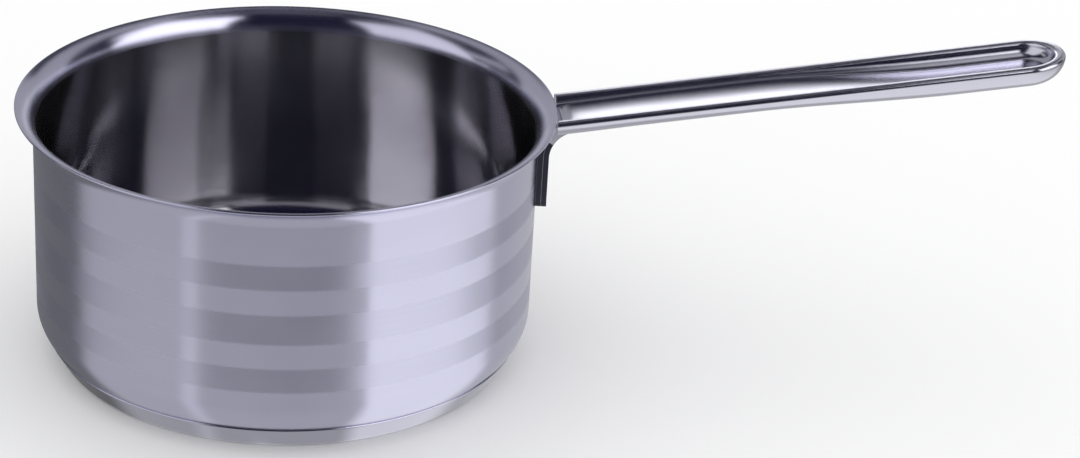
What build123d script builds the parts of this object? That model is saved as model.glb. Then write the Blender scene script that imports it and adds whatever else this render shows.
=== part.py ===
from build123d import *
from math import asin, atan2, acos, cos, degrees, hypot, radians, sin, sqrt, tan
import os

# A 16 cm stainless steel saucepan without a lid, in millimetres.
# Origin: middle of the flat underside. +Z up, +X along the handle.

# Pan body: one deep-drawn shell with a flared pouring lip
wall_radius = 80.0
wall_thickness = 0.8
shell_underside = 4.2
corner_radius = 12.5
lip_height = 84.4
lip_flare_radius = 6.3
lip_turn = 80.0

# Base: a thick aluminium disc closed in by a thin steel cap
cap_thickness = 0.6
cap_inset = 6.0
cap_edge_radius = 3.6
cap_rim_height = 8.0
core_edge_height = 6.6

# Handle: two nested pressed channels whose floors bend down as a tongue on the wall
sheet_thickness = 1.8
handle_half_width = 13.3
handle_length = 158.0
handle_rise_angle = 9.25
handle_rim_height = 84.2
root_depth = 6.0
waist_depth = 5.8
grip_depth = 8.3
floor_half_width = 8.0
grip_floor_half_width = 5.8
bend_radius = 9.0
tongue_length = 18.4
tongue_corner_radius = 4.0
lip_clearance = 0.5
notch_clearance = 0.3
rim_edge_radius = 1.2

# Places along the handle where the waist begins, where it ends and where the grip begins
waist_start_share = 0.15
waist_end_share = 0.36
grip_start_share = 0.78

# Sections of the slope from waist to grip: how far along it, and how far it has deepened there
slope_shares = ((0, 0), (0.25, 0.16), (0.5, 0.5), (0.75, 0.84), (1, 1))

# Every cut runs past the surface that it cuts by this much
overrun = 2.0

# Worked-out places: the bend turns about a level line through bend_centre
cap_radius = wall_radius - cap_inset
tongue_face_radius = wall_radius + 2 * sheet_thickness
rise = radians(handle_rise_angle)
along = Vector(cos(rise), 0, sin(rise))
upward = Vector(-sin(rise), 0, cos(rise))
rim_reach = bend_radius + root_depth
bend_x = tongue_face_radius + bend_radius
rim_x = bend_x - rim_reach * sin(rise)
rim_z = handle_rim_height + (rim_x - wall_radius) * tan(rise)
bend_centre = Vector(bend_x, 0, rim_z - rim_reach * cos(rise))
tip_centre_distance = handle_length - handle_half_width

# The cap's rim meets the rounded corner of the shell here
corner_drop = shell_underside + corner_radius - cap_rim_height
rim_contact_x = wall_radius - corner_radius + sqrt(corner_radius**2 - corner_drop**2)


def shell_outside(top_height):
    """Draw the outside of the shell from the axis up the wall, as far as top_height."""
    corner_x = wall_radius - corner_radius
    corner_z = shell_underside + corner_radius
    Line((0, shell_underside), (corner_x, shell_underside))
    CenterArc((corner_x, corner_z), corner_radius, -90, 90)
    Line((wall_radius, corner_z), (wall_radius, top_height))


def shell_envelope():
    """The space that the shell fills with its contents, which the base is fitted to."""
    top_height = shell_underside + 2 * corner_radius
    with BuildPart() as envelope:
        with BuildSketch(Plane.XZ):
            with BuildLine():
                shell_outside(top_height)
                Line((wall_radius, top_height), (0, top_height))
                Line((0, top_height), (0, shell_underside))
            make_face()
        revolve(axis=Axis.Z)
    return envelope.part


def cap_profile(inset, top_height):
    """Draw the base's side at inset from its outside, closed at top_height and on the axis."""
    arc_x = cap_radius - cap_edge_radius
    edge_radius = cap_edge_radius - inset
    side_angle = atan2(cap_rim_height - cap_edge_radius, rim_contact_x - arc_x)
    reach = hypot(cap_rim_height - cap_edge_radius, rim_contact_x - arc_x)
    touch_angle = side_angle - acos((cap_edge_radius - cap_thickness) / reach)
    side_x = arc_x + edge_radius * cos(touch_angle)
    side_z = cap_edge_radius + edge_radius * sin(touch_angle)
    top_x = side_x - (top_height - side_z) * tan(touch_angle)
    Line((0, inset), (arc_x, inset))
    CenterArc((arc_x, cap_edge_radius), edge_radius, -90, degrees(touch_angle) + 90)
    Line((side_x, side_z), (top_x, top_height))
    Line((top_x, top_height), (0, top_height))
    Line((0, top_height), (0, inset))


# Pan body
flare_start = lip_height - lip_flare_radius - wall_thickness
flare_centre = (wall_radius + lip_flare_radius, flare_start)
flare_over = lip_flare_radius + wall_thickness
edge_angle = 180 - lip_turn
edge_round_radius = wall_thickness / 2
edge_reach = lip_flare_radius + edge_round_radius
edge_centre_x = flare_centre[0] + edge_reach * cos(radians(edge_angle))
edge_centre_z = flare_centre[1] + edge_reach * sin(radians(edge_angle))
lip_outer_radius = edge_centre_x + edge_round_radius
inner_corner = corner_radius - wall_thickness
with BuildPart() as pan_body:
    with BuildSketch(Plane.XZ):
        with BuildLine():
            shell_outside(flare_start)
            CenterArc(flare_centre, lip_flare_radius, 180, -lip_turn)
            CenterArc((edge_centre_x, edge_centre_z), edge_round_radius, edge_angle - 180, 180)
            CenterArc(flare_centre, flare_over, edge_angle, lip_turn)
            Line((wall_radius - wall_thickness, flare_start),
                 (wall_radius - wall_thickness, shell_underside + corner_radius))
            CenterArc((wall_radius - corner_radius, shell_underside + corner_radius),
                      inner_corner, 0, -90)
            Line((wall_radius - corner_radius, shell_underside + wall_thickness),
                 (0, shell_underside + wall_thickness))
            Line((0, shell_underside + wall_thickness), (0, shell_underside))
        make_face()
    revolve(axis=Axis.Z)
pan_body.part.label = "pan_body"

envelope = shell_envelope()

# Base core
with BuildPart() as base_core:
    with BuildSketch(Plane.XZ):
        with BuildLine():
            cap_profile(cap_thickness, core_edge_height)
        make_face()
    revolve(axis=Axis.Z)
    add(envelope, mode=Mode.SUBTRACT)
base_core.part.label = "base_core"

# Base cap
with BuildPart() as base_cap:
    with BuildSketch(Plane.XZ):
        with BuildLine():
            cap_profile(0, cap_rim_height)
        make_face()
        with BuildLine():
            cap_profile(cap_thickness, cap_rim_height)
        make_face(mode=Mode.SUBTRACT)
    revolve(axis=Axis.Z)
base_cap.part.label = "base_cap"


def channel_plane(distance):
    """Cross-section plane square to the handle, this far out from the end of the bend."""
    return Plane(bend_centre + along * distance, x_dir=(0, 1, 0), z_dir=along)


def channel_outline(depth, floor_half, inset, rounding):
    """Draw the space in a channel: a floor curved like the pan's wall, round sides, a level top.

    The sheets' underside has no inset. Further into the sheets, every curve keeps its centre.
    A positive rounding rounds the space off at its top, a negative one flares it out.
    """
    floor_angle = asin(floor_half / tongue_face_radius)
    floor_centre = Vector(0, rim_reach - depth + tongue_face_radius)
    inward = Vector(-sin(floor_angle), cos(floor_angle))
    floor_end = floor_centre - inward * tongue_face_radius
    to_rim = Vector(handle_half_width, rim_reach) - floor_end
    side_radius = to_rim.dot(to_rim) / (2 * to_rim.dot(inward))
    side_centre = floor_end + inward * side_radius
    round_reach = side_radius - inset - rounding
    rim_angle = acos((side_centre.Y - rim_reach + abs(rounding)) / round_reach)
    rim_end = side_centre.X + round_reach * sin(rim_angle)
    start = -90 + degrees(floor_angle)
    turn = degrees(rim_angle - floor_angle)
    mirrored_centre = (-side_centre.X, side_centre.Y)
    CenterArc(floor_centre, tongue_face_radius - inset, -180 - start, 2 * degrees(floor_angle))
    right = CenterArc(side_centre, side_radius - inset, start, turn)
    left = CenterArc(mirrored_centre, side_radius - inset, -180 - start, -turn)
    if rounding:
        right = TangentArc(right @ 1, (rim_end, rim_reach), tangent=right % 1)
        left = TangentArc(left @ 1, (-rim_end, rim_reach), tangent=left % 1)
    Line(right @ 1, left @ 1)


def channel_section(distance, depth, floor_half, inset, rounding, half=False):
    """Cross-section of the space in the channel, or its half on one side of the middle."""
    with BuildSketch(channel_plane(distance)) as section:
        with BuildLine():
            channel_outline(depth, floor_half, inset, rounding)
        make_face()
        if half:
            split(bisect_by=Plane.YZ)
    return section.sketch


def channel_space(inset, rounding):
    """The space in the channel from the lip to the round tip, inset from its underside."""
    waist_start = handle_length * waist_start_share
    waist_end = handle_length * waist_end_share
    grip_start = handle_length * grip_start_share
    waist_middle = (waist_start + waist_end) / 2
    grip_middle = (grip_start + tip_centre_distance) / 2
    grip_shape = (grip_depth, grip_floor_half_width, inset, rounding)
    stations = [
        channel_section(0, root_depth, floor_half_width, inset, rounding),
        channel_section(waist_start, waist_depth, floor_half_width, inset, rounding),
        channel_section(waist_middle, waist_depth, floor_half_width, inset, rounding),
    ]
    for place_share, deepening_share in slope_shares:
        distance = waist_end + (grip_start - waist_end) * place_share
        depth = waist_depth + (grip_depth - waist_depth) * deepening_share
        floor_half = floor_half_width + (grip_floor_half_width - floor_half_width) * deepening_share
        stations.append(channel_section(distance, depth, floor_half, inset, rounding))
    stations.append(channel_section(grip_middle, *grip_shape))
    tip_axis = Axis(channel_plane(tip_centre_distance).origin, upward)
    with BuildPart() as space:
        extrude(stations[0], amount=-bend_radius)
        loft(stations)
        extrude(stations[-1], amount=tip_centre_distance - grip_middle)
        revolve(channel_section(tip_centre_distance, *grip_shape, half=True),
                axis=tip_axis, revolution_arc=-180)
    return space.part


def root_cutter():
    """What is cut from the channel's root: room for the lip, and a notch for the bend."""
    with BuildPart() as cutter:
        with BuildSketch(Plane.XY):
            Circle(lip_outer_radius + lip_clearance)
        extrude(amount=lip_height + grip_depth + overrun)
        with BuildSketch(channel_plane(0)):
            with Locations((0, rim_reach)):
                Rectangle(2 * (floor_half_width + notch_clearance), 2 * rim_reach)
        extrude(amount=-(bend_radius + overrun))
    return cutter.part


def strap(low_inset, high_inset):
    """One sheet's tongue, curved like the pan's wall, and its bend up to the channel's floor."""
    low_radius = tongue_face_radius - low_inset
    high_radius = tongue_face_radius - high_inset
    turn = degrees(asin(floor_half_width / tongue_face_radius))
    with BuildSketch(Plane(bend_centre, x_dir=(0, 1, 0), z_dir=(0, 0, 1))) as section:
        with BuildLine():
            low = CenterArc((0, bend_x), low_radius, -90 - turn, 2 * turn)
            high = CenterArc((0, bend_x), high_radius, -90 - turn, 2 * turn)
            Line(low @ 0, high @ 0)
            Line(low @ 1, high @ 1)
        make_face()
    with BuildPart() as bent:
        extrude(section.sketch, amount=-tongue_length)
        foot = bent.edges().filter_by(GeomType.LINE).filter_by(Axis.Z, reverse=True).group_by(Axis.Z)[0]
        fillet(foot, tongue_corner_radius)
        revolve(section.sketch, axis=Axis(bend_centre, (0, 1, 0)), revolution_arc=90 - handle_rise_angle)
    return bent.part


root_cut = root_cutter()
space_between_sheets = channel_space(sheet_thickness, 0)

# Lower shell of the handle
with BuildPart() as handle_lower_shell:
    add(channel_space(0, rim_edge_radius))
    add(space_between_sheets, mode=Mode.SUBTRACT)
    add(root_cut, mode=Mode.SUBTRACT)
    add(strap(0, sheet_thickness))
handle_lower_shell.part.label = "handle_lower_shell"

# Upper shell of the handle
with BuildPart() as handle_upper_shell:
    add(space_between_sheets)
    add(channel_space(2 * sheet_thickness, -rim_edge_radius), mode=Mode.SUBTRACT)
    add(root_cut, mode=Mode.SUBTRACT)
    add(strap(sheet_thickness, 2 * sheet_thickness))
handle_upper_shell.part.label = "handle_upper_shell"

os.makedirs("parts", exist_ok=True)
for piece in (pan_body, base_core, base_cap, handle_lower_shell, handle_upper_shell):
    export_step(piece.part, f"parts/{piece.part.label}.step")
    print(piece.part.label, len(piece.part.solids()), round(piece.part.volume, 1))
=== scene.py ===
from math import acos, asin, atan2, cos, degrees, hypot, pi, radians, sin, sqrt, tan

import bpy
from mathutils import Matrix, Vector


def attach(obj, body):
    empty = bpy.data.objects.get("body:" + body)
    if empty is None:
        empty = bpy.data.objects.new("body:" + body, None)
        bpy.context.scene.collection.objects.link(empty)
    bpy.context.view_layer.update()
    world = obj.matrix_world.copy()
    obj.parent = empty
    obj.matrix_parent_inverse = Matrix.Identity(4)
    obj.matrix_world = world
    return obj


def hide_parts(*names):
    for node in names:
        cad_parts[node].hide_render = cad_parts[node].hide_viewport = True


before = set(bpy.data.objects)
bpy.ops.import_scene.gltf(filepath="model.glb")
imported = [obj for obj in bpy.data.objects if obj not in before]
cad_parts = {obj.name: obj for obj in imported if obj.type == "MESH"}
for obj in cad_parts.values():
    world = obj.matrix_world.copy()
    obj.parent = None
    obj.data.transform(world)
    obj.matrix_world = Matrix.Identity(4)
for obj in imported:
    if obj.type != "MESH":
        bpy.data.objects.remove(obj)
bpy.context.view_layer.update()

scene = bpy.context.scene
MM = 0.001


# Sizes in millimetres, as in the model

# Pan
WALL_RADIUS = 80.0
WALL_THICKNESS = 0.8
SHELL_UNDERSIDE = 4.2
CORNER_RADIUS = 12.5
LIP_HEIGHT = 84.4
LIP_FLARE_RADIUS = 6.3
LIP_TURN = 80.0

# Base cap
CAP_THICKNESS = 0.6
CAP_RADIUS = 74.0
CAP_EDGE_RADIUS = 3.6
CAP_RIM_HEIGHT = 8.0
CAP_RIM_ROUNDING = 0.5

# Handle, two pressed sheets of this thickness, one in the other
SHEET = 1.8
HALF_WIDTH = 13.3
HANDLE_LENGTH = 158.0
RISE = radians(9.25)
RIM_HEIGHT = 84.2
ROOT_DEPTH = 6.0
WAIST_DEPTH = 5.8
GRIP_DEPTH = 8.3
FLOOR_HALF = 8.0
GRIP_FLOOR_HALF = 5.8
BEND_RADIUS = 9.0
TONGUE_LENGTH = 18.4
TONGUE_CORNER = 4.0
LIP_GAP = 0.5
RIM_ROUNDING = 1.2

# Places along the handle, as shares of its length
WAIST_START = 0.15
WAIST_END = 0.36
GRIP_START = 0.78

# How finely round things are divided
TURNS = 256
FLOOR_COLUMNS = 12
SIDE_COLUMNS = 12
ROUND_COLUMNS = 6
CHANNEL_ROWS = 72
BEND_ROWS = 14
CORNER_ROWS = 8
TONGUE_ROWS = 6
ROOT_ROWS = 4
TIP_ROWS = 40
# Points of a turned piece nearer than this, in mm, are one point
SAME_PLACE = 0.001
# Length of profile, in mm, that fills the turned pieces' pattern once
PATTERN_LENGTH = 100.0


# Camera: the photograph's own view, with the handle turned a little away from it

HANDLE_TURN = radians(4.0)
CAMERA_HEIGHT_ANGLE = radians(25.04)
CAMERA_ROLL = radians(3.52)
CAMERA_DISTANCE = 900.2
CAMERA_SIDE = 82.09
CAMERA_UP = 40.78
FOCAL_PIXELS = 2726.7
PHOTO_WIDTH = 1080
SENSOR_WIDTH = 36.0
NEAREST_SEEN = 0.01
FARTHEST_SEEN = 100


def make_camera():
    """The camera looks down on the pan from its front, a little left of the handle's side."""
    turn = Matrix.Rotation(-HANDLE_TURN, 3, "Z")
    back = turn @ Vector((0, -cos(CAMERA_HEIGHT_ANGLE), sin(CAMERA_HEIGHT_ANGLE)))
    right = turn @ Vector((1, 0, 0))
    up = back.cross(right)
    place = back * CAMERA_DISTANCE + right * CAMERA_SIDE + up * CAMERA_UP
    rolled_right = right * cos(CAMERA_ROLL) + up * sin(CAMERA_ROLL)
    rolled_up = up * cos(CAMERA_ROLL) - right * sin(CAMERA_ROLL)
    data = bpy.data.cameras.new("photo_camera")
    data.sensor_width = SENSOR_WIDTH
    data.lens = FOCAL_PIXELS / PHOTO_WIDTH * SENSOR_WIDTH
    data.clip_start = NEAREST_SEEN
    data.clip_end = FARTHEST_SEEN
    camera = bpy.data.objects.new("photo_camera", data)
    axes = Matrix((rolled_right, rolled_up, back)).transposed().to_4x4()
    camera.matrix_world = Matrix.Translation(place * MM) @ axes
    scene.collection.objects.link(camera)
    scene.camera = camera


# Nodes

# Sockets that share a name with others: of a Mix node's floats and colours, and of a Compare
# node's whole numbers
MIX_FLOAT_LOW, MIX_FLOAT_HIGH = 2, 3
MIX_COLOUR_LOW, MIX_COLOUR_HIGH = 6, 7
MIX_COLOUR_RESULT = 2
COMPARED, COMPARED_WITH = 2, 3


def add_node(tree, kind, place, **settings):
    """A node of this kind at this place, with its settings and named or numbered inputs."""
    node = tree.nodes.new(kind)
    node.location = place
    inputs = settings.pop("inputs", {})
    for key, value in settings.items():
        setattr(node, key, value)
    for key, value in inputs.items():
        node.inputs[key].default_value = value
    return node


def new_group(name, inputs, outputs, tree_kind="ShaderNodeTree"):
    """An empty node group with named sockets."""
    tree = bpy.data.node_groups.new(name, tree_kind)
    for label, kind, value in inputs:
        socket = tree.interface.new_socket(label, in_out="INPUT", socket_type=kind)
        if value is not None:
            socket.default_value = value
    for label, kind in outputs:
        tree.interface.new_socket(label, in_out="OUTPUT", socket_type=kind)
    return tree


class Maths:
    """Adds linked math nodes to a node tree."""

    def __init__(self, tree):
        self.tree = tree

    def calculate(self, operation, *values):
        """The result of a math node whose values are numbers or other nodes' results."""
        node = add_node(self.tree, "ShaderNodeMath", (-900, 0), operation=operation)
        for i, value in enumerate(values):
            if isinstance(value, (int, float)):
                node.inputs[i].default_value = value
            else:
                self.tree.links.new(value, node.inputs[i])
        return node.outputs[0]

    def part_along(self, place, direction):
        """How far a place lies along a direction."""
        node = add_node(self.tree, "ShaderNodeVectorMath", (-1200, 0), operation="DOT_PRODUCT",
                        inputs={1: direction})
        self.tree.links.new(place, node.inputs[0])
        return node.outputs["Value"]

    def edge(self, value, place, soft, rising):
        """1 on one side of a place and 0 on the other."""
        step = add_node(self.tree, "ShaderNodeMapRange", (-600, 0), interpolation_type="SMOOTHSTEP",
                        inputs={"From Min": place - soft, "From Max": place + soft,
                                "To Min": 0.0 if rising else 1.0, "To Max": 1.0 if rising else 0.0})
        self.tree.links.new(value, step.inputs["Value"])
        return step.outputs["Result"]

    def between(self, value, low, high, soft, strength):
        """A strength where a value is between two places."""
        inside = self.calculate("MULTIPLY", self.edge(value, low, soft, True), strength)
        return self.calculate("MULTIPLY", inside, self.edge(value, high, soft, False))

    def total(self, values):
        """The sum of all the values."""
        result = values[0]
        for value in values[1:]:
            result = self.calculate("ADD", result, value)
        return result


def settle(piece):
    """Puts what the piece's modifiers make into a plain mesh and takes the modifiers away."""
    rough = piece.data
    bpy.context.view_layer.update()
    evaluated = piece.evaluated_get(bpy.context.evaluated_depsgraph_get())
    plain = bpy.data.meshes.new_from_object(evaluated)
    piece.modifiers.clear()
    piece.data = plain
    bpy.data.meshes.remove(rough)
    plain.name = piece.name
    return plain


# Turned pieces: a profile is points (radius from the axis, height, normal out, normal up), and
# geometry nodes turn it round the pan's axis

def arc(centre, radius, start, end, steps, facing=1):
    """Profile points on an arc; facing -1 looks at its centre."""
    points = []
    for i in range(steps + 1):
        angle = radians(start + (end - start) * i / steps)
        points.append((centre[0] + radius * cos(angle), centre[1] + radius * sin(angle),
                       facing * cos(angle), facing * sin(angle)))
    return points


def straight(start, end, steps=1):
    """Profile points on a straight run, with its normal to the right of the way it runs."""
    length = hypot(end[0] - start[0], end[1] - start[1])
    across = ((end[1] - start[1]) / length, -(end[0] - start[0]) / length)
    return [(start[0] + (end[0] - start[0]) * i / steps, start[1] + (end[1] - start[1]) * i / steps,
             *across) for i in range(steps + 1)]


def profile_mesh(name, runs):
    """A chain of points that carry their normal, their reach along the profile and their run's number."""
    points, numbers = [], []
    for number, run in enumerate(runs):
        points += run
        numbers += [number] * len(run)
    reaches = [0.0]
    for a, b in zip(points, points[1:]):
        reaches.append(reaches[-1] + hypot(b[0] - a[0], b[1] - a[1]))
    mesh = bpy.data.meshes.new(name)
    mesh.from_pydata([(r * MM, 0, z * MM) for r, z, *_ in points],
                     [(i, i + 1) for i in range(len(points) - 1)], [])
    normal = mesh.attributes.new("profile_normal", "FLOAT_VECTOR", "POINT")
    normal.data.foreach_set("vector", [part for *_, out, up in points for part in (out, 0, up)])
    reach = mesh.attributes.new("profile_reach", "FLOAT", "POINT")
    reach.data.foreach_set("value", reaches)
    run = mesh.attributes.new("profile_run", "INT", "POINT")
    run.data.foreach_set("value", numbers)
    return mesh


def turning_tree(name, finishes):
    """Geometry nodes that turn a profile round Z and give each of its runs one of the finishes."""
    tree = new_group(name,
                     [("Profile", "NodeSocketGeometry", None), ("Turns", "NodeSocketInt", None),
                      ("Pattern Length", "NodeSocketFloat", None), ("Same Place", "NodeSocketFloat", None),
                      *((finish, "NodeSocketMaterial", None) for finish in finishes)],
                     [("Piece", "NodeSocketGeometry")], "GeometryNodeTree")
    link = tree.links.new
    maths = Maths(tree)
    given = add_node(tree, "NodeGroupInput", (-1500, 0)).outputs

    def whole_number(operation, first, second):
        node = add_node(tree, "FunctionNodeIntegerMath", (-1100, 200), operation=operation)
        link(first, node.inputs[0])
        if isinstance(second, int):
            node.inputs[1].default_value = second
        else:
            link(second, node.inputs[1])
        return node.outputs[0]

    def attribute(kind, label):
        node = add_node(tree, "GeometryNodeInputNamedAttribute", (-900, -300), data_type=kind,
                        inputs={"Name": label})
        return node.outputs["Attribute"]

    def of_profile(kind, value):
        node = add_node(tree, "GeometryNodeSampleIndex", (-500, 0), data_type=kind, domain="POINT")
        link(given["Profile"], node.inputs["Geometry"])
        link(value, node.inputs["Value"])
        link(row, node.inputs["Index"])
        return node.outputs[0]

    def turned(vector):
        node = add_node(tree, "ShaderNodeVectorRotate", (-300, 0), rotation_type="Z_AXIS")
        link(vector, node.inputs["Vector"])
        link(angle, node.inputs["Angle"])
        return node.outputs[0]

    def store(geometry, label, domain, value, kind, stored_kind):
        spread = add_node(tree, "GeometryNodeFieldOnDomain", (100, -200), data_type=kind, domain="POINT")
        node = add_node(tree, "GeometryNodeStoreNamedAttribute", (300, 0), data_type=stored_kind,
                        domain=domain, inputs={"Name": label})
        link(value, spread.inputs[0])
        link(geometry, node.inputs["Geometry"])
        link(spread.outputs[0], node.inputs["Value"])
        return node.outputs[0]

    count = add_node(tree, "GeometryNodeAttributeDomainSize", (-1300, 300))
    index = add_node(tree, "GeometryNodeInputIndex", (-1300, -100)).outputs[0]
    columns = whole_number("ADD", given["Turns"], 1)
    row = whole_number("DIVIDE_FLOOR", index, columns)
    turn = maths.calculate("DIVIDE", whole_number("MODULO", index, columns), given["Turns"])
    angle = maths.calculate("MULTIPLY", turn, 2 * pi)
    grid = add_node(tree, "GeometryNodeMeshGrid", (-700, 300))
    link(given["Profile"], count.inputs[0])
    link(count.outputs["Point Count"], grid.inputs["Vertices X"])
    link(columns, grid.inputs["Vertices Y"])

    place = add_node(tree, "GeometryNodeInputPosition", (-900, -100)).outputs[0]
    shaped = add_node(tree, "GeometryNodeSetPosition", (-100, 200))
    link(grid.outputs["Mesh"], shaped.inputs["Geometry"])
    link(turned(of_profile("FLOAT_VECTOR", place)), shaped.inputs["Position"])

    pattern = add_node(tree, "ShaderNodeCombineXYZ", (-100, -200))
    reach = of_profile("FLOAT", attribute("FLOAT", "profile_reach"))
    link(turn, pattern.inputs["X"])
    link(maths.calculate("DIVIDE", reach, given["Pattern Length"]), pattern.inputs["Y"])
    normal = turned(of_profile("FLOAT_VECTOR", attribute("FLOAT_VECTOR", "profile_normal")))
    run = of_profile("INT", attribute("INT", "profile_run"))
    piece = store(shaped.outputs[0], "turning", "CORNER", pattern.outputs[0], "FLOAT_VECTOR", "FLOAT2")
    piece = store(piece, "turned_normal", "CORNER", normal, "FLOAT_VECTOR", "FLOAT_VECTOR")
    piece = store(piece, "turned_run", "FACE", run, "INT", "INT")

    outwards = add_node(tree, "GeometryNodeFlipFaces", (500, 0))
    closed = add_node(tree, "GeometryNodeMergeByDistance", (700, 0))
    real = add_node(tree, "GeometryNodeRealizeInstances", (900, 0))
    link(piece, outwards.inputs[0])
    link(outwards.outputs[0], closed.inputs["Geometry"])
    link(given["Same Place"], closed.inputs["Distance"])
    link(closed.outputs[0], real.inputs[0])
    piece = real.outputs[0]
    for number, finish in enumerate(finishes):
        chosen = add_node(tree, "FunctionNodeCompare", (1000, -200), data_type="INT", operation="EQUAL",
                          inputs={COMPARED_WITH: number})
        finished = add_node(tree, "GeometryNodeSetMaterial", (1200, 0))
        link(attribute("INT", "turned_run"), chosen.inputs[COMPARED])
        link(piece, finished.inputs["Geometry"])
        link(chosen.outputs[0], finished.inputs["Selection"])
        link(given[finish], finished.inputs["Material"])
        piece = finished.outputs[0]
    end = add_node(tree, "NodeGroupOutput", (1400, 0))
    link(piece, end.inputs["Piece"])
    return tree


def turned_piece(name, finished_runs):
    """A closed piece turned from runs of its profile, each given as finish name: (material, run)."""
    profile = profile_mesh(name, [run for _, run in finished_runs.values()])
    piece = bpy.data.objects.new(name, profile)
    scene.collection.objects.link(piece)
    turning = piece.modifiers.new("turning", "NODES")
    turning.node_group = turning_tree(name, list(finished_runs))
    values = {"Turns": TURNS, "Pattern Length": PATTERN_LENGTH, "Same Place": SAME_PLACE * MM}
    values.update({finish: material for finish, (material, _) in finished_runs.items()})
    for socket in turning.node_group.interface.items_tree:
        if socket.name in values:
            turning[socket.identifier] = values[socket.name]
    plain = settle(piece)
    # The grid that the tree starts from brings an empty material slot
    plain.materials.pop(index=0)
    normals = [corner.vector[:] for corner in plain.attributes["turned_normal"].data]
    plain.attributes.remove(plain.attributes["turned_normal"])
    plain.attributes.remove(plain.attributes["turned_run"])
    plain.shade_smooth()
    plain.normals_split_custom_set(normals)
    return piece


def pan_runs():
    """The pan's own profile, all round its sheet: outside, lip and inside."""
    corner = (WALL_RADIUS - CORNER_RADIUS, SHELL_UNDERSIDE + CORNER_RADIUS)
    flare_start = LIP_HEIGHT - LIP_FLARE_RADIUS - WALL_THICKNESS
    flare = (WALL_RADIUS + LIP_FLARE_RADIUS, flare_start)
    edge_angle = 180 - LIP_TURN
    edge_radius = WALL_THICKNESS / 2
    reach = LIP_FLARE_RADIUS + edge_radius
    edge = (flare[0] + reach * cos(radians(edge_angle)), flare[1] + reach * sin(radians(edge_angle)))
    inner = WALL_RADIUS - WALL_THICKNESS
    floor_top = SHELL_UNDERSIDE + WALL_THICKNESS
    outside = straight((0, SHELL_UNDERSIDE), (corner[0], SHELL_UNDERSIDE), steps=4)
    outside += arc(corner, CORNER_RADIUS, -90, 0, steps=24)
    outside += straight((WALL_RADIUS, corner[1]), (WALL_RADIUS, flare_start), steps=12)
    lip = arc(flare, LIP_FLARE_RADIUS, 180, edge_angle, steps=18, facing=-1)
    lip += arc(edge, edge_radius, edge_angle - 180, edge_angle, steps=8)
    lip += arc(flare, LIP_FLARE_RADIUS + WALL_THICKNESS, edge_angle, 180, steps=20)
    inside = straight((inner, flare_start), (inner, corner[1]), steps=12)
    inside += arc(corner, CORNER_RADIUS - WALL_THICKNESS, 0, -90, steps=24, facing=-1)
    inside += straight((corner[0], floor_top), (0, floor_top), steps=6)
    return outside, lip, inside


def cap_runs():
    """The base cap's profile: its flat face, then its edge, side, rim and inside."""
    corner_drop = SHELL_UNDERSIDE + CORNER_RADIUS - CAP_RIM_HEIGHT
    contact_x = WALL_RADIUS - CORNER_RADIUS + sqrt(CORNER_RADIUS**2 - corner_drop**2)
    arc_x = CAP_RADIUS - CAP_EDGE_RADIUS
    centre = (arc_x, CAP_EDGE_RADIUS)
    side_angle = atan2(CAP_RIM_HEIGHT - CAP_EDGE_RADIUS, contact_x - arc_x)
    reach = hypot(CAP_RIM_HEIGHT - CAP_EDGE_RADIUS, contact_x - arc_x)
    touch = side_angle - acos((CAP_EDGE_RADIUS - CAP_THICKNESS) / reach)

    def side_end(radius):
        side_x = arc_x + radius * cos(touch)
        side_z = CAP_EDGE_RADIUS + radius * sin(touch)
        return (side_x, side_z), (side_x - (CAP_RIM_HEIGHT - side_z) * tan(touch), CAP_RIM_HEIGHT)

    low, top = side_end(CAP_EDGE_RADIUS)
    inner_low, inner_top = side_end(CAP_EDGE_RADIUS - CAP_THICKNESS)
    face = straight((0, 0), (arc_x, 0), steps=8)
    side = arc(centre, CAP_EDGE_RADIUS, -90, degrees(touch), steps=16)
    rounding_x = top[0] - CAP_RIM_ROUNDING * (1 - sin(touch)) / cos(touch)
    rounding = (rounding_x, CAP_RIM_HEIGHT - CAP_RIM_ROUNDING)
    rim = arc(rounding, CAP_RIM_ROUNDING, degrees(touch), 90, steps=6)
    side += straight(low, rim[0][:2])
    rim += straight(rim[-1][:2], inner_top)
    inside = straight(inner_top, inner_low)
    inside += arc(centre, CAP_EDGE_RADIUS - CAP_THICKNESS, degrees(touch), -90, steps=12, facing=-1)
    inside += straight((arc_x, CAP_THICKNESS), (0, CAP_THICKNESS))
    return face, side + rim + inside


# Handle: each pressed sheet is a grid of points on both its faces

TONGUE_FACE = WALL_RADIUS + 2 * SHEET
ALONG = Vector((cos(RISE), 0, sin(RISE)))
UPWARD = Vector((-sin(RISE), 0, cos(RISE)))
ACROSS = Vector((0, 1, 0))
RIM_REACH = BEND_RADIUS + ROOT_DEPTH
BEND_X = TONGUE_FACE + BEND_RADIUS
RIM_X = BEND_X - RIM_REACH * sin(RISE)
RIM_Z = RIM_HEIGHT + (RIM_X - WALL_RADIUS) * tan(RISE)
BEND_CENTRE = Vector((BEND_X, 0, RIM_Z - RIM_REACH * cos(RISE)))
TIP_CENTRE = HANDLE_LENGTH - HALF_WIDTH
LIP_RADIUS = (WALL_RADIUS + LIP_FLARE_RADIUS
              + (LIP_FLARE_RADIUS + WALL_THICKNESS / 2) * cos(radians(180 - LIP_TURN)) + WALL_THICKNESS / 2)
HALF_COLUMNS = FLOOR_COLUMNS + SIDE_COLUMNS + ROUND_COLUMNS
# How far the sheets' cut edges are rounded, in mm
EDGE_ROUNDING = 0.35
# How far up to the rim a side's columns reach where its rim isn't rounded
SIDE_SHARE = 0.9
# Edges at more than this angle are softened
SHARP_ANGLE = radians(40)
# How far above the bend's centre the sheets' edges get painted shade, a near-black colour for the shadowed
# gap by the pan wall
PAINTED_SHADE_RISE = 5.5


def smooth_step(value):
    """0 to 1 with level ends."""
    t = min(max(value, 0.0), 1.0)
    return t * t * (3 - 2 * t)


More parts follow.
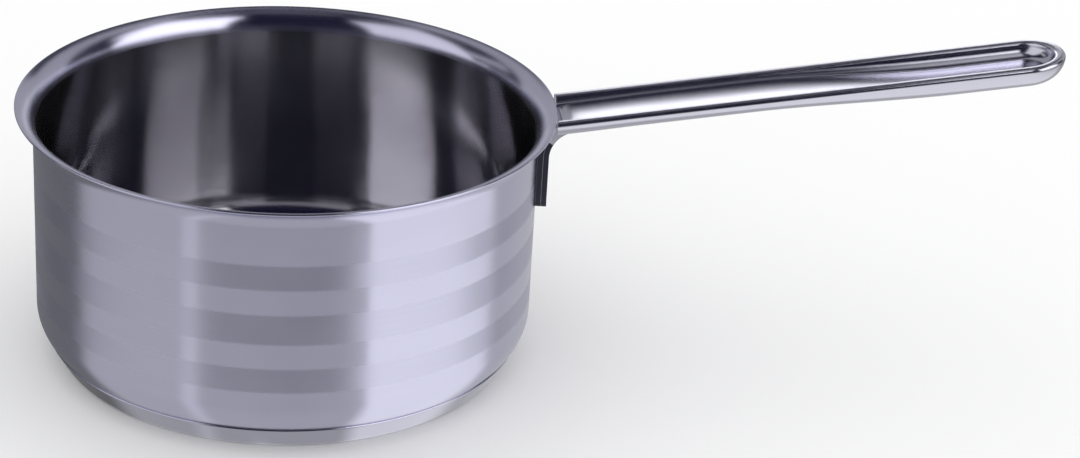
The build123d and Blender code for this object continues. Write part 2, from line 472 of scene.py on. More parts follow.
def channel_shape(distance):
    """Depth and half the floor's width of the channel, this far out from the bend."""
    share = distance / HANDLE_LENGTH
    if share < WAIST_START:
        depth = ROOT_DEPTH + (WAIST_DEPTH - ROOT_DEPTH) * smooth_step(share / WAIST_START)
        return depth, FLOOR_HALF
    grip = smooth_step((share - WAIST_END) / (GRIP_START - WAIST_END))
    return (WAIST_DEPTH + (GRIP_DEPTH - WAIST_DEPTH) * grip,
            FLOOR_HALF + (GRIP_FLOOR_HALF - FLOOR_HALF) * grip)


def half_section(depth, floor_half, inset, rounding):
    """Half of one face of the sheet in section, from the middle of the floor to the rim."""
    floor_angle = asin(floor_half / TONGUE_FACE)
    centre_up = RIM_REACH - depth + TONGUE_FACE
    inward = Vector((-sin(floor_angle), cos(floor_angle)))
    floor_end = Vector((0, centre_up)) - inward * TONGUE_FACE
    to_rim = Vector((HALF_WIDTH, RIM_REACH)) - floor_end
    side_radius = to_rim.dot(to_rim) / (2 * to_rim.dot(inward))
    side_centre = floor_end + inward * side_radius
    reach = side_radius - inset
    rim_angle = acos((side_centre.y - RIM_REACH + abs(rounding)) / (reach - rounding))
    points = []
    for i in range(FLOOR_COLUMNS + 1):
        angle = floor_angle * i / FLOOR_COLUMNS
        radius = TONGUE_FACE - inset
        points.append(Vector((radius * sin(angle), centre_up - radius * cos(angle))))
    side_end = rim_angle
    if not rounding:
        side_end = floor_angle + (rim_angle - floor_angle) * SIDE_SHARE
    for i in range(1, SIDE_COLUMNS + 1):
        angle = floor_angle + (side_end - floor_angle) * i / SIDE_COLUMNS
        points.append(side_centre + Vector((sin(angle), -cos(angle))) * reach)
    round_centre = side_centre + Vector((sin(rim_angle), -cos(rim_angle))) * (reach - rounding)
    for i in range(1, ROUND_COLUMNS + 1):
        share = i / ROUND_COLUMNS
        if rounding > 0:
            angle = rim_angle + (pi - rim_angle) * share
            points.append(round_centre + Vector((sin(angle), -cos(angle))) * rounding)
        elif rounding < 0:
            angle = rim_angle * (1 - share)
            points.append(round_centre + Vector((-sin(angle), cos(angle))) * -rounding)
        else:
            angle = side_end + (rim_angle - side_end) * share
            points.append(side_centre + Vector((sin(angle), -cos(angle))) * reach)
    return points


def tongue_rows():
    """Height and half width of the tongue from its round-cornered foot up to the bend."""
    foot = BEND_CENTRE.z - TONGUE_LENGTH
    rows = []
    for i in range(CORNER_ROWS + 1):
        angle = pi / 2 * i / CORNER_ROWS
        half_width = FLOOR_HALF - TONGUE_CORNER * (1 - sin(angle))
        rows.append((foot + TONGUE_CORNER * (1 - cos(angle)), half_width))
    straight_part = TONGUE_LENGTH - TONGUE_CORNER
    for i in range(1, TONGUE_ROWS):
        rows.append((foot + TONGUE_CORNER + straight_part * i / TONGUE_ROWS, FLOOR_HALF))
    return rows


def sheet_points(inset, rounding):
    """All points of one face of the sheet, by name: tongue, bend, root sides, channel and tip."""
    points = {}
    columns = range(-HALF_COLUMNS, HALF_COLUMNS + 1)
    radius = TONGUE_FACE - inset

    def section(distance):
        half = half_section(*channel_shape(distance), inset, rounding)
        return {j: Vector((half[abs(j)].x * (1 if j >= 0 else -1), half[abs(j)].y)) for j in columns}

    def place(origin, point, upward=UPWARD):
        return origin + ACROSS * point.x + upward * point.y

    for i in range(CHANNEL_ROWS + 1):
        distance = TIP_CENTRE * i / CHANNEL_ROWS
        for j, point in section(distance).items():
            points["channel", i, j] = place(BEND_CENTRE + ALONG * distance, point)
    tip = BEND_CENTRE + ALONG * TIP_CENTRE
    half = half_section(*channel_shape(TIP_CENTRE), inset, rounding)
    for i in range(1, TIP_ROWS):
        angle = pi * i / TIP_ROWS
        outward = ALONG * sin(angle) - ACROSS * cos(angle)
        for j in range(1, HALF_COLUMNS + 1):
            points["tip", i, j] = tip + outward * half[j].x + UPWARD * half[j].y
    root = section(0)
    for i in range(1, BEND_ROWS + 1):
        angle = (pi / 2 - RISE) * i / BEND_ROWS
        turned = Vector((-sin(RISE + angle), 0, cos(RISE + angle)))
        for j in range(-FLOOR_COLUMNS, FLOOR_COLUMNS + 1):
            points["bend", i, j] = place(BEND_CENTRE, root[j], turned)
    for i, (height, half_width) in enumerate(tongue_rows()):
        for j in range(-FLOOR_COLUMNS, FLOOR_COLUMNS + 1):
            angle = asin(half_width / TONGUE_FACE) * j / FLOOR_COLUMNS
            points["tongue", i, j] = Vector((radius * cos(angle), radius * sin(angle), height))
    gap_radius = LIP_RADIUS + LIP_GAP
    for side in (-1, 1):
        for j in range(FLOOR_COLUMNS + 1, HALF_COLUMNS + 1):
            point = root[side * j]
            start_x = sqrt(gap_radius**2 - point.x**2)
            start = (start_x - BEND_CENTRE.x + point.y * sin(RISE)) / cos(RISE)
            for i in range(1, ROOT_ROWS + 1):
                distance = start * i / ROOT_ROWS
                points["root", i, side * j] = place(BEND_CENTRE + ALONG * distance, point)
    return points


def sheet_faces():
    """The faces of the sheet between its named points, seen from above."""
    faces = []

    def cells(names, columns):
        for low, high in zip(names, names[1:]):
            for j in columns:
                faces.append((low(j), high(j), high(j + 1), low(j + 1)))

    def row(name, i):
        return lambda j: (name, i, j)

    floor = range(-FLOOR_COLUMNS, FLOOR_COLUMNS)
    tongue = [row("tongue", i) for i in range(len(tongue_rows()))]
    bend = [row("bend", i) for i in range(BEND_ROWS, 0, -1)]
    cells(tongue + bend + [row("channel", 0)], floor)
    cells([row("channel", i) for i in range(CHANNEL_ROWS + 1)], range(-HALF_COLUMNS, HALF_COLUMNS))
    root = [row("root", i) for i in range(ROOT_ROWS, 0, -1)] + [row("channel", 0)]
    cells(root, range(FLOOR_COLUMNS + 1, HALF_COLUMNS))
    cells(root, range(-HALF_COLUMNS, -FLOOR_COLUMNS - 1))

    def tip(i, j):
        if j == 0 or i == 0:
            return ("channel", CHANNEL_ROWS, -j)
        if i == TIP_ROWS:
            return ("channel", CHANNEL_ROWS, j)
        return ("tip", i, j)

    for i in range(TIP_ROWS):
        faces.append((tip(i, 0), tip(i, 1), tip(i + 1, 1)))
        for j in range(1, HALF_COLUMNS):
            faces.append((tip(i, j), tip(i, j + 1), tip(i + 1, j + 1), tip(i + 1, j)))
    return faces


def pressed_sheet(name, low_inset, high_inset, low_rounding, high_rounding):
    """A closed sheet: its lower face, its upper face, and a wall round all its edges."""
    low = sheet_points(low_inset, low_rounding)
    high = sheet_points(high_inset, high_rounding)
    faces = sheet_faces()
    numbers = {key: i for i, key in enumerate(low)}
    count = len(numbers)
    verts = [point * MM for point in low.values()] + [high[key] * MM for key in low]
    solid, used = [], {}
    for face in faces:
        ids = [numbers[key] for key in face]
        solid.append([i + count for i in ids])
        solid.append(ids[::-1])
        for a, b in zip(ids, ids[1:] + ids[:1]):
            used[a, b] = True
    for a, b in used:
        if (b, a) not in used:
            solid.append([a, b, b + count, a + count])
    # Edge faces below this height get the second material, whose near-black colour is painted shade
    painted_shade_top = (BEND_CENTRE.z + PAINTED_SHADE_RISE) * MM
    slots = []
    for face in solid:
        between_faces = len(face) == 4 and abs(face[0] - face[3]) == count
        slots.append(int(between_faces and max(verts[i].z for i in face) < painted_shade_top))
    mesh = bpy.data.meshes.new(name)
    mesh.from_pydata(verts, [], solid)
    mesh.polygons.foreach_set("material_index", slots)
    mesh.update()
    return mesh


def finished_sheet(name, *shape):
    """A pressed sheet with its cut edges softened, as a plain smooth mesh."""
    mesh = pressed_sheet(name, *shape)
    piece = bpy.data.objects.new(name, mesh)
    scene.collection.objects.link(piece)
    mesh.materials.append(handle_steel)
    # The second material paints shade, near black, on the sheets' low edges by the pan wall
    mesh.materials.append(edge_shade_steel)
    mesh.shade_smooth()
    bevel = piece.modifiers.new("cut_edges", "BEVEL")
    bevel.width = EDGE_ROUNDING * MM
    bevel.segments = 2
    bevel.limit_method = "ANGLE"
    bevel.angle_limit = SHARP_ANGLE
    bevel.harden_normals = True
    bevel.material = 0
    settle(piece)
    return piece


# Materials

def turned_grain_group():
    """Fine lines that run round the pan's axis, on walls and flats alike."""
    tree = new_group("turned_grain",
                     [("Coordinate", "NodeSocketVector", None),
                      ("Lines per Metre", "NodeSocketFloat", 2500.0),
                      ("Breaks Round", "NodeSocketFloat", 3.0)],
                     [("Grain", "NodeSocketFloat")])
    link = tree.links.new
    start = add_node(tree, "NodeGroupInput", (-900, 0))
    end = add_node(tree, "NodeGroupOutput", (500, 0))
    parts = add_node(tree, "ShaderNodeSeparateXYZ", (-700, 0))
    flat = add_node(tree, "ShaderNodeVectorMath", (-700, 200), operation="MULTIPLY",
                    inputs={1: (1, 1, 0)})
    length = add_node(tree, "ShaderNodeVectorMath", (-520, 300), operation="LENGTH")
    outward = add_node(tree, "ShaderNodeVectorMath", (-520, 140), operation="NORMALIZE")
    spread = add_node(tree, "ShaderNodeVectorMath", (-340, 140), operation="SCALE")
    high = add_node(tree, "ShaderNodeMath", (-520, -60), operation="MULTIPLY")
    wide = add_node(tree, "ShaderNodeMath", (-340, 320), operation="MULTIPLY")
    lift = add_node(tree, "ShaderNodeCombineXYZ", (-340, -60))
    both = add_node(tree, "ShaderNodeVectorMath", (-160, 60), operation="ADD")
    noise = add_node(tree, "ShaderNodeTexNoise", (40, 60), noise_dimensions="4D",
                     inputs={"Scale": 1.0, "Detail": 3.0, "Roughness": 0.65})
    link(start.outputs["Coordinate"], parts.inputs[0])
    link(start.outputs["Coordinate"], flat.inputs[0])
    link(flat.outputs[0], length.inputs[0])
    link(flat.outputs[0], outward.inputs[0])
    link(outward.outputs[0], spread.inputs[0])
    link(start.outputs["Breaks Round"], spread.inputs["Scale"])
    link(parts.outputs["Z"], high.inputs[0])
    link(start.outputs["Lines per Metre"], high.inputs[1])
    link(length.outputs["Value"], wide.inputs[0])
    link(start.outputs["Lines per Metre"], wide.inputs[1])
    link(high.outputs[0], lift.inputs["Z"])
    link(spread.outputs[0], both.inputs[0])
    link(lift.outputs[0], both.inputs[1])
    link(both.outputs[0], noise.inputs["Vector"])
    link(wide.outputs[0], noise.inputs["W"])
    link(noise.outputs[0], end.inputs["Grain"])
    return tree


def handling_group():
    """Soft smudges from use, from 0 for clean to 1."""
    tree = new_group("handling_marks",
                     [("Coordinate", "NodeSocketVector", None),
                      ("Smudge Scale", "NodeSocketFloat", 30.0)],
                     [("Smudge", "NodeSocketFloat")])
    link = tree.links.new
    start = add_node(tree, "NodeGroupInput", (-900, 0))
    end = add_node(tree, "NodeGroupOutput", (500, 0))
    cloud = add_node(tree, "ShaderNodeTexNoise", (-500, 200), inputs={"Detail": 4.0, "Roughness": 0.55})
    soften = add_node(tree, "ShaderNodeMapRange", (-260, 200), interpolation_type="SMOOTHSTEP",
                      inputs={"From Min": 0.42, "From Max": 0.72})
    link(start.outputs["Coordinate"], cloud.inputs["Vector"])
    link(start.outputs["Smudge Scale"], cloud.inputs["Scale"])
    link(cloud.outputs[0], soften.inputs["Value"])
    link(soften.outputs["Result"], end.inputs["Smudge"])
    return tree


TURNED_GRAIN = turned_grain_group()
HANDLING = handling_group()


# How much grain changes a steel's roughness and colour, and how deep its lines are, in metres
GRAIN_ROUGHNESS = (-0.03, 0.05)
GRAIN_DULLNESS = 0.9
GRAIN_DEPTH = 0.00002
# How many times longer than wide the handle's grain is, and how soft the bands' edges are, in mm
GRAIN_LENGTH = 100
BAND_SOFTNESS = 0.5


def turned_grain(tree, steel, coordinate, lines):
    """Grain round the pan's axis, with the steel's tangent along it."""
    grain = add_node(tree, "ShaderNodeGroup", (-900, 200), node_tree=TURNED_GRAIN,
                     inputs={"Lines per Metre": lines, "Breaks Round": 3.0})
    tangent = add_node(tree, "ShaderNodeTangent", (300, -400), direction_type="UV_MAP", uv_map="turning")
    tree.links.new(coordinate, grain.inputs["Coordinate"])
    tree.links.new(tangent.outputs[0], steel.inputs["Tangent"])
    return grain.outputs["Grain"]


def lengthwise_grain(tree, coordinate, lines):
    """Grain along the handle."""
    stretch = add_node(tree, "ShaderNodeMapping", (-1100, 200),
                       inputs={"Rotation": (0, RISE, 0), "Scale": (lines / GRAIN_LENGTH, lines, lines)})
    fine = add_node(tree, "ShaderNodeTexNoise", (-900, 200),
                    inputs={"Scale": 1.0, "Detail": 3.0, "Roughness": 0.6})
    tree.links.new(coordinate, stretch.inputs["Vector"])
    tree.links.new(stretch.outputs[0], fine.inputs["Vector"])
    return fine.outputs[0]


def band_mask(tree, coordinate, bands):
    """1 in the bands, which are heights in mm, and 0 between them."""
    maths = Maths(tree)
    parts = add_node(tree, "ShaderNodeSeparateXYZ", (-1100, -350))
    tree.links.new(coordinate, parts.inputs[0])
    masks = [maths.between(parts.outputs["Z"], low * MM, high * MM, BAND_SOFTNESS * MM, 1.0)
             for low, high in bands]
    mask = masks[0]
    for other in masks[1:]:
        mask = maths.calculate("MAXIMUM", mask, other)
    return mask


def steel_material(name, colour, roughness, lines, anisotropy, bump, smudge,
                   bands=(), band_roughness=0.0, turned=True):
    """Stainless steel whose grain runs round the pan, or along the handle where it isn't turned."""
    material = bpy.data.materials.new(name)
    material.use_nodes = True
    tree = material.node_tree
    tree.nodes.clear()
    link = tree.links.new
    out = add_node(tree, "ShaderNodeOutputMaterial", (900, 0))
    steel = add_node(tree, "ShaderNodeBsdfPrincipled", (600, 0),
                     inputs={"Metallic": 1.0, "Anisotropic": anisotropy, "Anisotropic Rotation": 0.25})
    link(steel.outputs[0], out.inputs["Surface"])
    coordinate = add_node(tree, "ShaderNodeTexCoord", (-1300, 0)).outputs["Object"]
    if turned:
        grain = turned_grain(tree, steel, coordinate, lines)
    else:
        grain = lengthwise_grain(tree, coordinate, lines)
    vary = add_node(tree, "ShaderNodeMapRange", (-500, 200),
                    inputs={"To Min": GRAIN_ROUGHNESS[0], "To Max": GRAIN_ROUGHNESS[1]})
    link(grain, vary.inputs["Value"])
    rougher = add_node(tree, "ShaderNodeMath", (-60, -100), operation="ADD", inputs={0: roughness})
    link(vary.outputs["Result"], rougher.inputs[1])
    if bands:
        level = add_node(tree, "ShaderNodeMapRange", (-300, -200),
                         inputs={"To Min": roughness, "To Max": band_roughness})
        link(band_mask(tree, coordinate, bands), level.inputs["Value"])
        link(level.outputs["Result"], rougher.inputs[0])
    marks = add_node(tree, "ShaderNodeGroup", (-900, -100), node_tree=HANDLING)
    greasy = add_node(tree, "ShaderNodeMath", (120, -100), operation="MULTIPLY_ADD", use_clamp=True,
                      inputs={1: smudge})
    link(coordinate, marks.inputs["Coordinate"])
    link(marks.outputs["Smudge"], greasy.inputs[0])
    link(rougher.outputs[0], greasy.inputs[2])
    link(greasy.outputs[0], steel.inputs["Roughness"])
    shade = add_node(tree, "ShaderNodeMix", (200, 300), data_type="RGBA")
    shade.inputs[MIX_COLOUR_LOW].default_value = (*(value * GRAIN_DULLNESS for value in colour), 1)
    shade.inputs[MIX_COLOUR_HIGH].default_value = (*colour, 1)
    link(grain, shade.inputs["Factor"])
    link(shade.outputs[MIX_COLOUR_RESULT], steel.inputs["Base Color"])
    relief = add_node(tree, "ShaderNodeBump", (300, -280),
                      inputs={"Strength": bump, "Distance": GRAIN_DEPTH})
    link(grain, relief.inputs["Height"])
    link(relief.outputs[0], steel.inputs["Normal"])
    return material


WALL_STEEL = (0.6, 0.595, 0.745)
INSIDE_STEEL = (0.62, 0.61, 0.65)
HANDLE_STEEL = (0.56, 0.555, 0.64)
BASE_STEEL = (0.48, 0.475, 0.57)
# Painted shade: a near-black colour for the handle sheets' edges low by the pan wall, where the gap between
# sheets and wall is in shadow
PAINTED_EDGE_SHADE = (0.05, 0.05, 0.065)
# The wall's satin bands, as heights in mm
SATIN_BANDS = ((22.5, 30.5), (38.7, 48.5), (56.8, 64.8))

outer_steel = steel_material("outer_wall_steel", WALL_STEEL, roughness=0.2, lines=2500.0, anisotropy=1.0,
                             bump=0.05, smudge=0.03, bands=SATIN_BANDS, band_roughness=0.31)
lip_steel = steel_material("lip_steel", WALL_STEEL, roughness=0.18, lines=2500.0, anisotropy=1.0,
                           bump=0.04, smudge=0.03)
inner_steel = steel_material("inside_steel", INSIDE_STEEL, roughness=0.1, lines=4000.0, anisotropy=1.0,
                             bump=0.01, smudge=0.03)
base_face_steel = steel_material("base_face_steel", WALL_STEEL, roughness=0.3, lines=1500.0, anisotropy=0.7,
                                 bump=0.4, smudge=0.05)
base_edge_steel = steel_material("base_edge_steel", BASE_STEEL, roughness=0.18, lines=2500.0, anisotropy=0.8,
                                 bump=0.15, smudge=0.03)
handle_steel = steel_material("handle_steel", HANDLE_STEEL, roughness=0.18, lines=3000.0, anisotropy=0.0,
                              bump=0.08, smudge=0.03, turned=False)
# Rough steel whose near-black colour is painted shade on the sheets' low edges by the pan wall
edge_shade_steel = steel_material("painted_shade_edge_steel", PAINTED_EDGE_SHADE, roughness=0.5, lines=3000.0, anisotropy=0.0,
                           bump=0.3, smudge=0.05, turned=False)


def aluminium_material():
    """Plain rolled aluminium for the hidden core."""
    material = bpy.data.materials.new("core_aluminium")
    material.use_nodes = True
    tree = material.node_tree
    aluminium = tree.nodes["Principled BSDF"]
    aluminium.inputs["Metallic"].default_value = 1.0
    where = add_node(tree, "ShaderNodeTexCoord", (-900, 0))
    grain = add_node(tree, "ShaderNodeGroup", (-700, 0), node_tree=TURNED_GRAIN,
                     inputs={"Lines per Metre": 900.0, "Breaks Round": 1.0})
    level = add_node(tree, "ShaderNodeMapRange", (-450, -150), inputs={"To Min": 0.35, "To Max": 0.55})
    shade = add_node(tree, "ShaderNodeMix", (-250, 100), data_type="RGBA")
    shade.inputs[MIX_COLOUR_LOW].default_value = (0.66, 0.66, 0.68, 1)
    shade.inputs[MIX_COLOUR_HIGH].default_value = (0.78, 0.78, 0.8, 1)
    tree.links.new(where.outputs["Object"], grain.inputs["Coordinate"])
    tree.links.new(grain.outputs["Grain"], level.inputs["Value"])
    tree.links.new(level.outputs["Result"], aluminium.inputs["Roughness"])
    tree.links.new(grain.outputs["Grain"], shade.inputs["Factor"])
    tree.links.new(shade.outputs[MIX_COLOUR_RESULT], aluminium.inputs["Base Color"])
    return material


# Pieces

pan_outside, pan_lip, pan_inside = pan_runs()
pan = turned_piece("pan_shell", {
    "Wall Finish": (outer_steel, pan_outside),
    "Lip Finish": (lip_steel, pan_lip),
    "Inside Finish": (inner_steel, pan_inside),
})
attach(pan, "root")
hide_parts("pan_body")

cap_face, cap_edge = cap_runs()
cap = turned_piece("base_cap_shell", {
    "Face Finish": (base_face_steel, cap_face),
    "Edge Finish": (base_edge_steel, cap_edge),
})
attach(cap, "root")
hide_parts("base_cap")

lower = finished_sheet("handle_outer_sheet", 0, SHEET, RIM_ROUNDING, 0)
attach(lower, "root")
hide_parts("handle_lower_shell")

upper = finished_sheet("handle_inner_sheet", SHEET, 2 * SHEET, 0, -RIM_ROUNDING)
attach(upper, "root")
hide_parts("handle_upper_shell")

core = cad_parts["base_core"]
core.data.materials.clear()
core.data.materials.append(aluminium_material())


# Studio: a white floor and backdrop, and panels and table tones that only the metal mirrors

FLOOR_SIZE = 6.0
FLOOR_COLOUR = (0.95, 0.95, 0.95)
ROOM_LIGHT = 1.05
# The dark parts of the room are a cool blue
DARK_ROOM = (0.007, 0.007, 0.026)

# Places round the pan's wall, from its front to the right, where what it mirrors changes
WALL_EDGES = (-44.0, -16.5, -12.9, 24.0, 57.1)
# Brightness of the table and of the room low over it, before, between and after these places
TABLE_TONES = (0.2, 0.58, 0.8, 0.58, 1.18, 0.62)
LOW_ROOM_TONES = (0.25, 0.8, 0.6, 0.03, 0.5, 0.4)
TABLE_SOFTNESS = 0.004
BEARING_SOFTNESS = 1.5
LOW_ROOM_HEIGHTS = (-5.0, 10.0)
# The table darkens between these distances from the pan's axis, in metres, to this share
TABLE_FADE = (0.25, 0.7)
FAR_TABLE_SHARE = 0.3
# Higher panels as angles round from the front to the right, and angles of height, in degrees
STUDIO_PANELS = (
    # from, to, lowest, highest, brightness, edge softness
    (36, 94, 8, 62, 2.0, 3.0),
    (94, 107, 36, 62, 1.2, 3.0),
    (-88, -32, 8, 60, 1.0, 3.0),
    (-118, -90, 20, 31, 0.6, 3.0),
)
# A panel that is only seen through two mirrorings or more, as in the pan's inside
INSIDE_PANELS = (
    (94, 106, 8, 36, 2.0, 3.0),
)
# Panels behind the pan, which its inside doesn't pass on
BACK_PANELS = (
    (125, 163, 5, 64, 0.45, 3.0),
    (-163, -125, 5, 64, 0.45, 3.0),
    (163, 180, 56, 64, 0.5, 2.0),
    (-180, -163, 56, 64, 0.5, 2.0),
    (163, 180, 4, 27, 0.45, 2.0),
    (-180, -163, 4, 27, 0.45, 2.0),
    (-180, 180, 78, 92, 0.12, 4.0),
)
# Share of the room's light that is left where the inside mirrors it four times or more
DEEP_SHARE = 0.4
# Limits on how many times light is mirrored lie half way between two counts, with this softness
HALF = 0.5
COUNT_SOFTNESS = 0.1
# Soft panels near the handle, which only its sheets mirror. Each faces a place, from a bearing, a
# height angle and a distance; size and softness are along and up; brightness is mirrored once, twice
HANDLE_PANELS = {
    "panel_behind_handle": {
        "facing": (174.0, 0.0, 100.0), "bearing": 180.0, "height_angle": 16.25, "distance": 420.0,
        "size": (288.0, 95.0), "softness": (14.0, 14.0), "brightness": (2.0, 2.0),
    },
    "panel_before_handle": {
        "facing": (216.0, 0.0, 112.0), "bearing": 10.2, "height_angle": 45.0, "distance": 600.0,
        "size": (90.0, 320.0), "softness": (30.0, 120.0), "brightness": (3.0, 6.5),
    },
    "panel_over_handle": {
        "facing": (225.0, 0.0, 112.0), "bearing": 5.0, "height_angle": 76.0, "distance": 250.0,
        "size": (80.0, 150.0), "softness": (20.0, 20.0), "brightness": (0.7, 4.0),
    },
}
FRONT = Vector((-sin(HANDLE_TURN), -cos(HANDLE_TURN), 0))
RIGHT = Vector((cos(HANDLE_TURN), -sin(HANDLE_TURN), 0))


def mirrored_bearing(turn):
    """The bearing that the camera sees mirrored in the pan's wall at this turn from its front."""
    place = (WALL_RADIUS * sin(turn), WALL_RADIUS * cos(turn))
    camera_ahead = CAMERA_DISTANCE * cos(CAMERA_HEIGHT_ANGLE)
    return 2 * turn - atan2(CAMERA_SIDE - place[0], camera_ahead - place[1])


def table_tone(maths, place):
    """Brightness of the table, in sectors whose sides the wall mirrors as upright edges."""
    behind = maths.part_along(place, RIGHT)
    before = [maths.edge(behind, 0.0, TABLE_SOFTNESS, False)]
    after = []
    for turn in WALL_EDGES:
        angle = mirrored_bearing(radians(turn))
        across = RIGHT * cos(angle) - FRONT * sin(angle)
        foot = RIGHT * sin(radians(turn)) + FRONT * cos(radians(turn))
        distance = maths.part_along(place, across)
        line = across.dot(foot) * WALL_RADIUS * MM
        after.append(maths.edge(distance, line, TABLE_SOFTNESS, False))
        before.append(maths.edge(distance, line, TABLE_SOFTNESS, True))
    after.append(maths.edge(behind, 0.0, TABLE_SOFTNESS, True))
    sectors = [maths.calculate("MULTIPLY", maths.calculate("MULTIPLY", low, high), tone)
               for low, high, tone in zip(before, after, TABLE_TONES)]
    from_axis = add_node(maths.tree, "ShaderNodeVectorMath", (-1200, 300), operation="LENGTH")
    fade = add_node(maths.tree, "ShaderNodeMapRange", (-900, 300), interpolation_type="SMOOTHSTEP",
                    inputs={"From Min": TABLE_FADE[0], "From Max": TABLE_FADE[1],
                            "To Min": 1.0, "To Max": FAR_TABLE_SHARE})
    maths.tree.links.new(place, from_axis.inputs[0])
    maths.tree.links.new(from_axis.outputs["Value"], fade.inputs["Value"])
    return maths.calculate("MULTIPLY", maths.total(sectors), fade.outputs["Result"])


def make_floor():
    """A plain pale floor; metal mirrors it as a table with lighter and darker parts."""
    half = FLOOR_SIZE / 2
    mesh = bpy.data.meshes.new("studio_floor")
    corners = [(-half, -half, 0), (half, -half, 0), (half, half, 0), (-half, half, 0)]
    mesh.from_pydata(corners, [], [(0, 1, 2, 3)])
    material = bpy.data.materials.new("studio_floor")
    material.use_nodes = True
    tree = material.node_tree
    surface = tree.nodes["Principled BSDF"]
    surface.inputs["Base Color"].default_value = (*FLOOR_COLOUR, 1)
    surface.inputs["Roughness"].default_value = 1.0
    surface.inputs["Specular IOR Level"].default_value = 0.0
    where = add_node(tree, "ShaderNodeTexCoord", (-1400, 0))
    mirrored = add_node(tree, "ShaderNodeEmission", (0, -200))
    tree.links.new(table_tone(Maths(tree), where.outputs["Object"]), mirrored.inputs["Strength"])
    rays = add_node(tree, "ShaderNodeLightPath", (0, 300))
    chosen = add_node(tree, "ShaderNodeMixShader", (300, 0))
    tree.links.new(rays.outputs["Is Glossy Ray"], chosen.inputs[0])
    tree.links.new(surface.outputs[0], chosen.inputs[1])
    tree.links.new(mirrored.outputs[0], chosen.inputs[2])
    tree.links.new(chosen.outputs[0], tree.nodes["Material Output"].inputs["Surface"])
    mesh.materials.append(material)
    floor = bpy.data.objects.new("studio_floor", mesh)
    scene.collection.objects.link(floor)


def room_panels():
    """All panels of the room: the low ones between the wall's edges, then the higher ones."""
    bearings = [-180.0, *(degrees(mirrored_bearing(radians(turn))) for turn in WALL_EDGES), 180.0]
    low = [(start, end, *LOW_ROOM_HEIGHTS, tone, BEARING_SOFTNESS)
           for start, end, tone in zip(bearings, bearings[1:], LOW_ROOM_TONES)]
    return [*low, *STUDIO_PANELS]


def make_world():
    """Even white light, and for the metal a studio of panels in a dark room."""
    world = bpy.data.worlds.new("studio")
    scene.world = world
    world.use_nodes = True
    tree = world.node_tree
    tree.nodes.clear()
    maths = Maths(tree)
    out = add_node(tree, "ShaderNodeOutputWorld", (1400, 0))
    shown = add_node(tree, "ShaderNodeBackground", (1200, 0), inputs={"Color": (1, 1, 1, 1)})
    dark = add_node(tree, "ShaderNodeBackground", (1200, -200), inputs={"Color": (*DARK_ROOM, 1)})
    room = add_node(tree, "ShaderNodeAddShader", (1300, 0))
    tree.links.new(shown.outputs[0], room.inputs[0])
    tree.links.new(dark.outputs[0], room.inputs[1])
    tree.links.new(room.outputs[0], out.inputs["Surface"])
    where = add_node(tree, "ShaderNodeTexCoord", (-1400, 0)).outputs["Generated"]
    angle = maths.calculate("ARCTAN2", maths.part_along(where, RIGHT), maths.part_along(where, FRONT))
    bearing = maths.calculate("DEGREES", angle)
    height = maths.calculate("DEGREES", maths.calculate("ARCSINE", maths.part_along(where, (0, 0, 1))))
    rays = add_node(tree, "ShaderNodeLightPath", (200, 400))

    def shining(panels):
        tones = []
        for start, end, lowest, highest, brightness, soft in panels:
            first = start - soft * (start == -180)
            last = end + soft * (end == 180)
            wide = maths.between(bearing, first, last, soft, brightness)
            tall = maths.between(height, lowest, highest, soft, 1.0)
            tones.append(maths.calculate("MULTIPLY", wide, tall))
        return maths.total(tones)

    mirrorings = rays.outputs["Glossy Depth"]
    at_most_twice = maths.calculate("LESS_THAN", mirrorings, 2 + HALF)
    behind = maths.calculate("MULTIPLY", shining(BACK_PANELS), at_most_twice)
    twice_or_more = maths.calculate("GREATER_THAN", mirrorings, 1 + HALF)
    inside = maths.calculate("MULTIPLY", shining(INSIDE_PANELS), twice_or_more)
    under_four_times = maths.edge(mirrorings, 3 + HALF, COUNT_SOFTNESS, False)
    share = maths.calculate("MULTIPLY_ADD", under_four_times, 1 - DEEP_SHARE, DEEP_SHARE)
    ahead = maths.calculate("ADD", shining(room_panels()), inside)
    panels = maths.calculate("ADD", maths.calculate("MULTIPLY", ahead, share), behind)
    chosen = add_node(tree, "ShaderNodeMix", (600, 100), data_type="FLOAT",
                      inputs={MIX_FLOAT_LOW: ROOM_LIGHT})
    tree.links.new(rays.outputs["Is Glossy Ray"], chosen.inputs["Factor"])
    tree.links.new(rays.outputs["Is Glossy Ray"], dark.inputs["Strength"])
    tree.links.new(panels, chosen.inputs[MIX_FLOAT_HIGH])
    seen = maths.calculate("MAXIMUM", rays.outputs["Is Camera Ray"], rays.outputs["Is Transmission Ray"])
    tree.links.new(maths.calculate("MAXIMUM", chosen.outputs[0], seen), shown.inputs["Strength"])


def handle_sheets():
    """A collection of the handle's two sheets, which alone mirror the panels near it."""
    sheets = bpy.data.collections.new("handle_sheets")
    sheets.objects.link(lower)
    sheets.objects.link(upper)
    return sheets


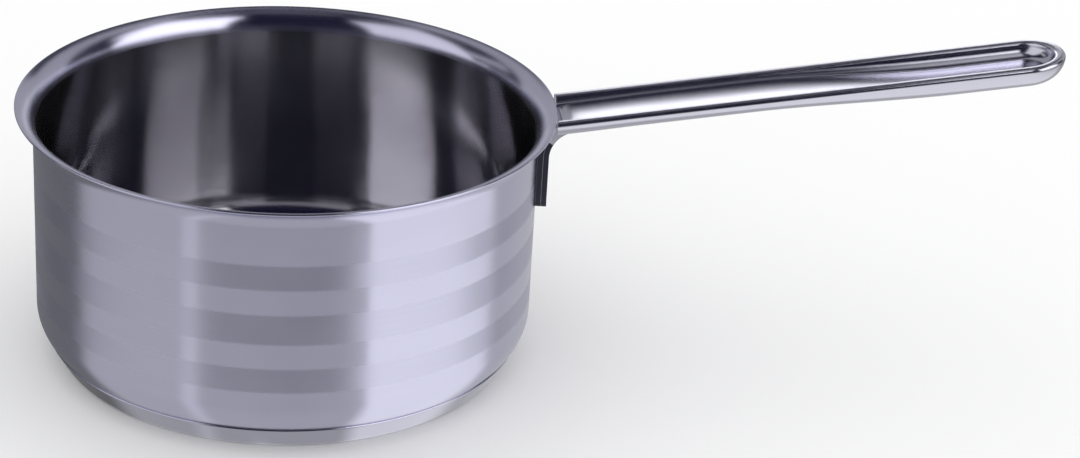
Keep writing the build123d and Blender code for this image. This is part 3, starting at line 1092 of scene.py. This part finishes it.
def handle_panel_material(name, size, softness, brightness):
    """Light with soft sides, for metal that mirrors it once or twice."""
    material = bpy.data.materials.new(name)
    material.use_nodes = True
    tree = material.node_tree
    tree.nodes.clear()
    maths = Maths(tree)
    out = add_node(tree, "ShaderNodeOutputMaterial", (600, 0))
    glow = add_node(tree, "ShaderNodeEmission", (400, 0))
    spread = add_node(tree, "ShaderNodeUVMap", (-900, 0), uv_map="panel")
    parts = add_node(tree, "ShaderNodeSeparateXYZ", (-700, 0))
    mirrorings = add_node(tree, "ShaderNodeLightPath", (-700, 300)).outputs["Glossy Depth"]
    tree.links.new(spread.outputs[0], parts.inputs[0])
    soft_sides = [soft / length / 2 for soft, length in zip(softness, size)]
    across = maths.between(parts.outputs["X"], soft_sides[0], 1 - soft_sides[0], soft_sides[0], 1.0)
    upright = maths.between(parts.outputs["Y"], soft_sides[1], 1 - soft_sides[1], soft_sides[1], 1.0)
    once = maths.between(mirrorings, HALF, 1 + HALF, COUNT_SOFTNESS, brightness[0])
    twice = maths.between(mirrorings, 1 + HALF, 2 + HALF, COUNT_SOFTNESS, brightness[1])
    strength = maths.calculate("ADD", once, twice)
    tone = maths.calculate("MULTIPLY", maths.calculate("MULTIPLY", across, upright), strength)
    tree.links.new(tone, glow.inputs["Strength"])
    see_through = add_node(tree, "ShaderNodeBsdfTransparent", (400, 200))
    both = add_node(tree, "ShaderNodeAddShader", (500, 0))
    tree.links.new(glow.outputs[0], both.inputs[0])
    tree.links.new(see_through.outputs[0], both.inputs[1])
    tree.links.new(both.outputs[0], out.inputs["Surface"])
    return material


def make_handle_panel(name, receivers, facing, bearing, height_angle, distance, size, softness, brightness):
    """A soft panel that faces a part of the handle and that only the receivers mirror."""
    level = FRONT * cos(radians(bearing)) + RIGHT * sin(radians(bearing))
    towards = level * cos(radians(height_angle)) + Vector((0, 0, sin(radians(height_angle))))
    sideways = towards.cross(Vector((0, 0, 1))).normalized()
    upwards = sideways.cross(towards)
    middle = Vector(facing) + towards * distance
    corners = []
    for side, up in ((-1, -1), (1, -1), (1, 1), (-1, 1)):
        corners.append((middle + sideways * side * size[0] / 2 + upwards * up * size[1] / 2) * MM)
    mesh = bpy.data.meshes.new(name)
    mesh.from_pydata(corners, [], [(0, 1, 2, 3)])
    layer = mesh.uv_layers.new(name="panel")
    for place, uv in zip(layer.data, ((0, 0), (1, 0), (1, 1), (0, 1))):
        place.uv = uv
    mesh.materials.append(handle_panel_material(name, size, softness, brightness))
    panel = bpy.data.objects.new(name, mesh)
    panel.visible_camera = False
    panel.visible_diffuse = False
    panel.visible_shadow = False
    panel.light_linking.receiver_collection = receivers
    scene.collection.objects.link(panel)


make_floor()
mirroring_sheets = handle_sheets()
for panel_name, panel_values in HANDLE_PANELS.items():
    make_handle_panel(panel_name, mirroring_sheets, **panel_values)
make_world()
make_camera()

scene.view_settings.view_transform = "Standard"
